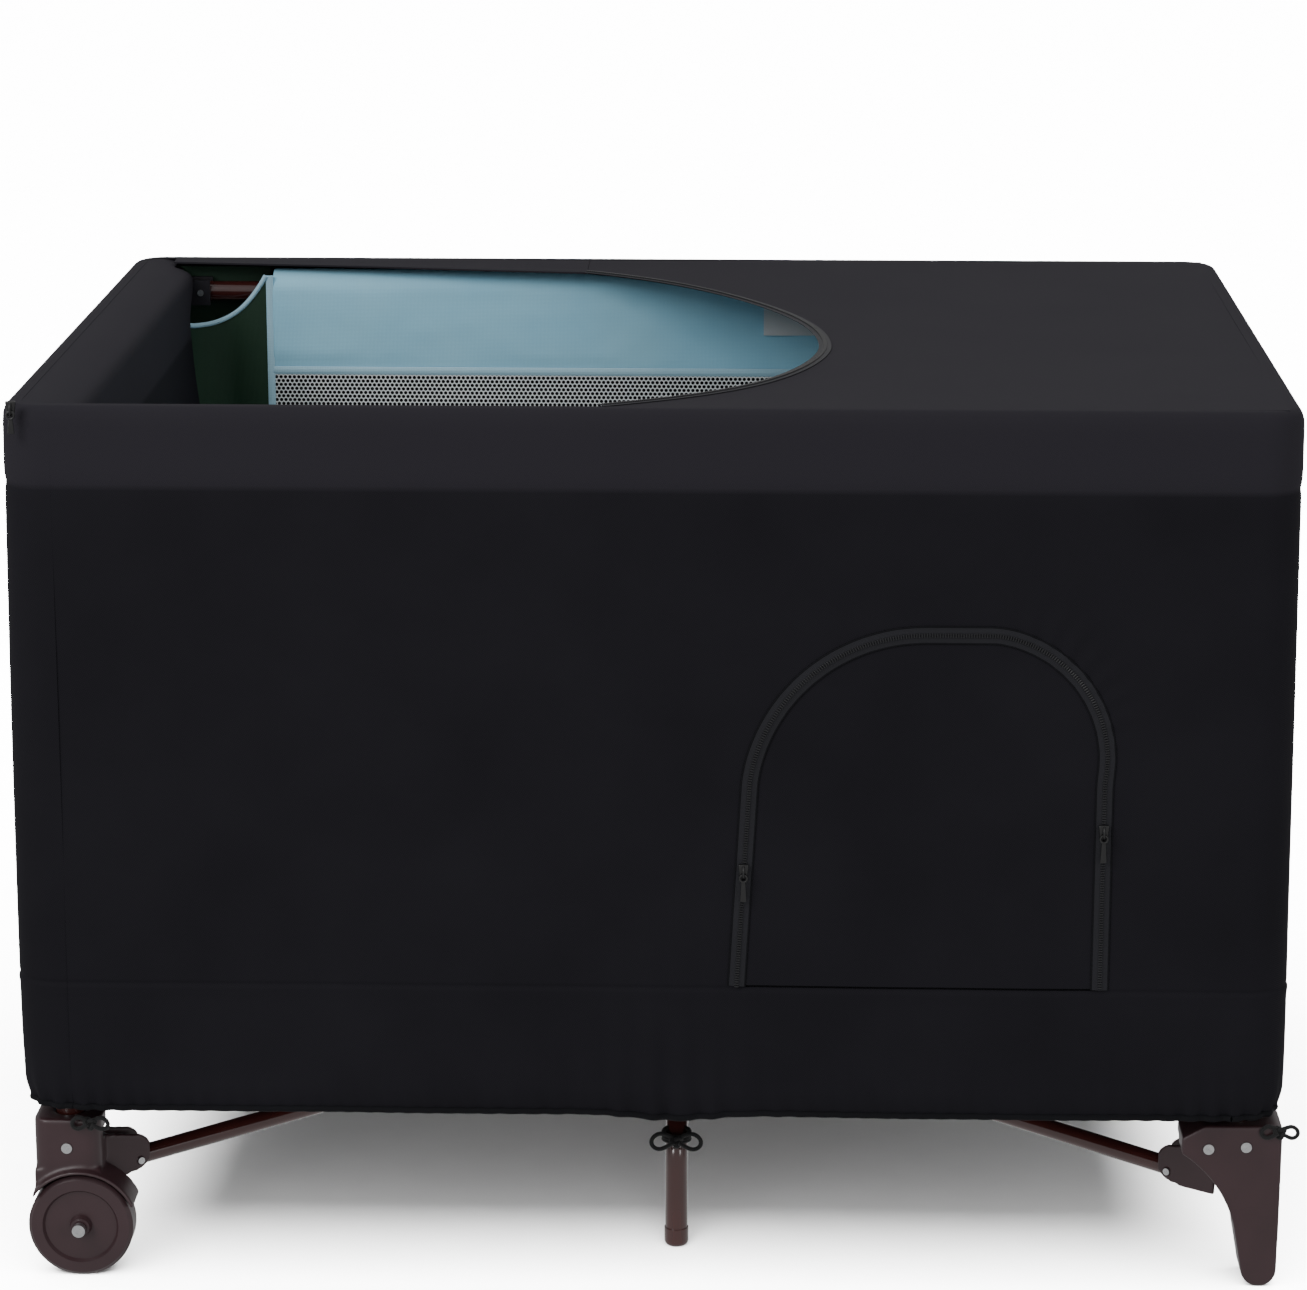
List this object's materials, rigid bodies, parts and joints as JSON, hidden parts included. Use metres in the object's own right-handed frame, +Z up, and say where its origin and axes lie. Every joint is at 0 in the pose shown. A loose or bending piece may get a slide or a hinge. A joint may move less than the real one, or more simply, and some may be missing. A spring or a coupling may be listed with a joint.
{
  "type": "playpen",
  "caption": "Rectangular folding travel playpen on two casters and two feet, with a fitted dark cloth cover, a D-shaped zipped top opening and an arched zipped door.",
  "frame": {"origin": "on the floor, under the middle of the pen", "axes": "+X along the length from the caster end to the foot end, -Y towards the front with the arched door, +Z up"},
  "size_m": [1.054, 0.776, 0.744],
  "materials": {
    "painted_tube": "gloss dark brown enamel",
    "frame_moulding": "fine textured dark plastic",
    "foot_moulding": "satin dark brown plastic",
    "wheel_moulding": "satin dark brown plastic",
    "steel_rivet": "zinc plated",
    "button_moulding": "satin grey plastic",
    "liner_cloth": "woven light blue and dark green polyester with mesh",
    "pad_cloth": "quilted light blue polyester",
    "zip_metal": "black enamel",
    "cover_cloth": "black stretch knit"
  },
  "bodies": {
    "leg_front_left": {"leg_tube_front_left": "painted_tube", "top_corner_front_left": "frame_moulding", "caster_housing_front_left": "foot_moulding", "rivets_front_left": "steel_rivet", "liner_front": "liner_cloth", "liner_left": "liner_cloth", "cover_front": "cover_cloth", "cover_left": "cover_cloth"},
    "leg_front_right": {"leg_tube_front_right": "painted_tube", "top_corner_front_right": "frame_moulding", "foot_bracket_front_right": "foot_moulding", "rivets_front_right": "steel_rivet", "liner_right": "liner_cloth", "cover_right": "cover_cloth"},
    "leg_back_right": {"leg_tube_back_right": "painted_tube", "top_corner_back_right": "frame_moulding", "foot_bracket_back_right": "foot_moulding", "rivets_back_right": "steel_rivet"},
    "leg_back_left": {"leg_tube_back_left": "painted_tube", "top_corner_back_left": "frame_moulding", "caster_housing_back_left": "foot_moulding", "rivets_back_left": "steel_rivet", "liner_back": "liner_cloth", "cover_back": "cover_cloth"},
    "hub": {"hub": "frame_moulding", "hub_rivets": "steel_rivet"},
    "middle_leg_front": {"middle_leg_front": "painted_tube"},
    "middle_leg_back": {"middle_leg_back": "painted_tube"},
    "wheel_front_left": {"wheel_front_left": "wheel_moulding"},
    "wheel_back_left": {"wheel_back_left": "wheel_moulding"},
    "cover_top": {"cover_top": "cover_cloth"},
    "cover_flap": {"cover_flap": "cover_cloth"},
    "cover_door": {"cover_door": "cover_cloth"},
    "door_zip_slider_left": {"door_zip_slider_left": "zip_metal"},
    "door_zip_slider_right": {"door_zip_slider_right": "zip_metal"},
    "top_zip_slider": {"top_zip_slider": "zip_metal"},
    "floor_tube_front_left": {"floor_tube_front_left": "painted_tube", "floor_pad_front_left": "pad_cloth"},
    "floor_tube_front_right": {"floor_tube_front_right": "painted_tube", "floor_pad_front_right": "pad_cloth"},
    "floor_tube_back_right": {"floor_tube_back_right": "painted_tube", "floor_pad_back_right": "pad_cloth"},
    "floor_tube_back_left": {"floor_tube_back_left": "painted_tube", "floor_pad_back_left": "pad_cloth"},
    "rail_front_at_front_left": {"rail_front_at_front_left": "painted_tube", "rail_latch_front": "frame_moulding"},
    "rail_front_at_front_right": {"rail_front_at_front_right": "painted_tube"},
    "latch_button_front": {"latch_button_front": "button_moulding"},
    "rail_back_at_back_left": {"rail_back_at_back_left": "painted_tube", "rail_latch_back": "frame_moulding"},
    "rail_back_at_back_right": {"rail_back_at_back_right": "painted_tube"},
    "latch_button_back": {"latch_button_back": "button_moulding"},
    "rail_left_at_front_left": {"rail_left_at_front_left": "painted_tube", "rail_latch_left": "frame_moulding"},
    "rail_left_at_back_left": {"rail_left_at_back_left": "painted_tube"},
    "latch_button_left": {"latch_button_left": "button_moulding"},
    "rail_right_at_front_right": {"rail_right_at_front_right": "painted_tube", "rail_latch_right": "frame_moulding"},
    "rail_right_at_back_right": {"rail_right_at_back_right": "painted_tube"},
    "latch_button_right": {"latch_button_right": "button_moulding"}
  },
  "joints": [
    {"name": "fold", "type": "hinge", "parent": "leg_front_left", "child": "floor_tube_front_left", "pos_m": [-0.44094, -0.31173, 0.082], "axis": [0.5773, -0.8166, 0], "range_deg": [0, 80], "deforming": ["liner_front", "liner_back", "liner_left", "liner_right", "cover_front", "cover_back", "cover_left", "cover_right", "cover_top", "cover_flap", "cover_door", "floor_pad_front_left", "floor_pad_front_right", "floor_pad_back_right", "floor_pad_back_left"]},
    {"name": "hub_level", "type": "hinge", "parent": "floor_tube_front_left", "child": "hub", "pos_m": [-0.0294, -0.02078, 0.108], "axis": [0.5773, -0.8166, 0], "range_deg": [-80, 0]},
    {"name": "floor_tube_fold_front_right", "type": "hinge", "parent": "hub", "child": "floor_tube_front_right", "pos_m": [0.0294, -0.02078, 0.108], "axis": [0.5773, 0.8166, 0], "range_deg": [0, 80]},
    {"name": "leg_level_front_right", "type": "hinge", "parent": "floor_tube_front_right", "child": "leg_front_right", "pos_m": [0.44094, -0.31173, 0.082], "axis": [0.5773, 0.8166, 0], "range_deg": [-80, 0]},
    {"name": "floor_tube_fold_back_right", "type": "hinge", "parent": "hub", "child": "floor_tube_back_right", "pos_m": [0.0294, 0.02078, 0.108], "axis": [-0.5773, 0.8166, 0], "range_deg": [0, 80]},
    {"name": "leg_level_back_right", "type": "hinge", "parent": "floor_tube_back_right", "child": "leg_back_right", "pos_m": [0.44094, 0.31173, 0.082], "axis": [-0.5773, 0.8166, 0], "range_deg": [-80, 0]},
    {"name": "floor_tube_fold_back_left", "type": "hinge", "parent": "hub", "child": "floor_tube_back_left", "pos_m": [-0.0294, 0.02078, 0.108], "axis": [-0.5773, -0.8166, 0], "range_deg": [0, 80]},
    {"name": "leg_level_back_left", "type": "hinge", "parent": "floor_tube_back_left", "child": "leg_back_left", "pos_m": [-0.44094, 0.31173, 0.082], "axis": [-0.5773, -0.8166, 0], "range_deg": [-80, 0]},
    {"name": "rail_fold_front_at_front_left", "type": "hinge", "parent": "leg_front_left", "child": "rail_front_at_front_left", "pos_m": [-0.454, -0.345, 0.715], "axis": [0, 1, 0], "range_deg": [0, 85]},
    {"name": "rail_fold_front_at_front_right", "type": "hinge", "parent": "leg_front_right", "child": "rail_front_at_front_right", "pos_m": [0.454, -0.345, 0.715], "axis": [0, -1, 0], "range_deg": [0, 85]},
    {"name": "latch_press_front", "type": "slide", "parent": "rail_front_at_front_left", "child": "latch_button_front", "axis": [0, 0, 1], "range_m": [0, 0.004], "stiffness_N_per_m": 150, "springref_m": -0.003},
    {"name": "rail_fold_back_at_back_left", "type": "hinge", "parent": "leg_back_left", "child": "rail_back_at_back_left", "pos_m": [-0.454, 0.345, 0.715], "axis": [0, 1, 0], "range_deg": [0, 85]},
    {"name": "rail_fold_back_at_back_right", "type": "hinge", "parent": "leg_back_right", "child": "rail_back_at_back_right", "pos_m": [0.454, 0.345, 0.715], "axis": [0, -1, 0], "range_deg": [0, 85]},
    {"name": "latch_press_back", "type": "slide", "parent": "rail_back_at_back_left", "child": "latch_button_back", "axis": [0, 0, 1], "range_m": [0, 0.004], "stiffness_N_per_m": 150, "springref_m": -0.003},
    {"name": "rail_fold_left_at_front_left", "type": "hinge", "parent": "leg_front_left", "child": "rail_left_at_front_left", "pos_m": [-0.488, -0.311, 0.715], "axis": [-1, 0, 0], "range_deg": [0, 85]},
    {"name": "rail_fold_left_at_back_left", "type": "hinge", "parent": "leg_back_left", "child": "rail_left_at_back_left", "pos_m": [-0.488, 0.311, 0.715], "axis": [1, 0, 0], "range_deg": [0, 85]},
    {"name": "latch_press_left", "type": "slide", "parent": "rail_left_at_front_left", "child": "latch_button_left", "axis": [0, 0, 1], "range_m": [0, 0.004], "stiffness_N_per_m": 150, "springref_m": -0.003},
    {"name": "rail_fold_right_at_front_right", "type": "hinge", "parent": "leg_front_right", "child": "rail_right_at_front_right", "pos_m": [0.488, -0.311, 0.715], "axis": [-1, 0, 0], "range_deg": [0, 85]},
    {"name": "rail_fold_right_at_back_right", "type": "hinge", "parent": "leg_back_right", "child": "rail_right_at_back_right", "pos_m": [0.488, 0.311, 0.715], "axis": [1, 0, 0], "range_deg": [0, 85]},
    {"name": "latch_press_right", "type": "slide", "parent": "rail_right_at_front_right", "child": "latch_button_right", "axis": [0, 0, 1], "range_m": [0, 0.004], "stiffness_N_per_m": 150, "springref_m": -0.003},
    {"name": "middle_leg_fold_front", "type": "hinge", "parent": "hub", "child": "middle_leg_front", "pos_m": [0.02, -0.06, 0.108], "axis": [1, 0, 0], "range_deg": [0, 90.5]},
    {"name": "middle_leg_fold_back", "type": "hinge", "parent": "hub", "child": "middle_leg_back", "pos_m": [-0.02, 0.06, 0.108], "axis": [-1, 0, 0], "range_deg": [0, 90.5]},
    {"name": "top_panel_fold", "type": "hinge", "parent": "leg_front_right", "child": "cover_top", "pos_m": [0.517, 0, 0.7425], "axis": [0, -1, 0], "range_deg": [0, 80]},
    {"name": "wheel_spin_front_left", "type": "hinge", "parent": "leg_front_left", "child": "wheel_front_left", "pos_m": [-0.478, -0.3645, 0.044], "axis": [0, 1, 0], "continuous": true},
    {"name": "wheel_spin_back_left", "type": "hinge", "parent": "leg_back_left", "child": "wheel_back_left", "pos_m": [-0.478, 0.3645, 0.044], "axis": [0, 1, 0], "continuous": true},
    {"name": "top_flap", "type": "hinge", "parent": "leg_front_left", "child": "cover_flap", "pos_m": [-0.466, 0, 0.7395], "axis": [0, -1, 0], "range_deg": [0, 76.9]},
    {"name": "door_open", "type": "hinge", "parent": "leg_front_left", "child": "cover_door", "pos_m": [0.22, -0.3828, 0.2695], "axis": [1, 0, 0], "range_deg": [0, 145]},
    {"name": "door_zip_left", "type": "slide", "parent": "leg_front_left", "child": "door_zip_slider_left", "axis": [0.0561, 0.0101, 0.9984], "range_m": [-0.08, 0.07]},
    {"name": "door_zip_right", "type": "slide", "parent": "leg_front_left", "child": "door_zip_slider_right", "axis": [0, 0.0101, 0.9999], "range_m": [-0.115, 0.045]},
    {"name": "top_zip", "type": "slide", "parent": "leg_front_left", "child": "top_zip_slider", "axis": [1, 0, 0], "range_m": [0, 0.3]}
  ],
  "couplings": [
    {"joint": "hub_level", "follows": "fold", "ratio": -1},
    {"joint": "floor_tube_fold_front_right", "follows": "fold", "ratio": 1},
    {"joint": "leg_level_front_right", "follows": "fold", "ratio": -1},
    {"joint": "floor_tube_fold_back_right", "follows": "fold", "ratio": 1},
    {"joint": "leg_level_back_right", "follows": "fold", "ratio": -1},
    {"joint": "floor_tube_fold_back_left", "follows": "fold", "ratio": 1},
    {"joint": "leg_level_back_left", "follows": "fold", "ratio": -1},
    {"joint": "rail_fold_front_at_front_left", "follows": "fold", "ratio": 1.06},
    {"joint": "rail_fold_front_at_front_right", "follows": "fold", "ratio": 1.06},
    {"joint": "rail_fold_back_at_back_left", "follows": "fold", "ratio": 1.06},
    {"joint": "rail_fold_back_at_back_right", "follows": "fold", "ratio": 1.06},
    {"joint": "rail_fold_left_at_front_left", "follows": "fold", "ratio": 1.06},
    {"joint": "rail_fold_left_at_back_left", "follows": "fold", "ratio": 1.06},
    {"joint": "rail_fold_right_at_front_right", "follows": "fold", "ratio": 1.06},
    {"joint": "rail_fold_right_at_back_right", "follows": "fold", "ratio": 1.06},
    {"joint": "middle_leg_fold_front", "follows": "fold", "ratio": 1.125},
    {"joint": "middle_leg_fold_back", "follows": "fold", "ratio": 1.125},
    {"joint": "top_panel_fold", "follows": "fold", "ratio": 1}
  ]
}
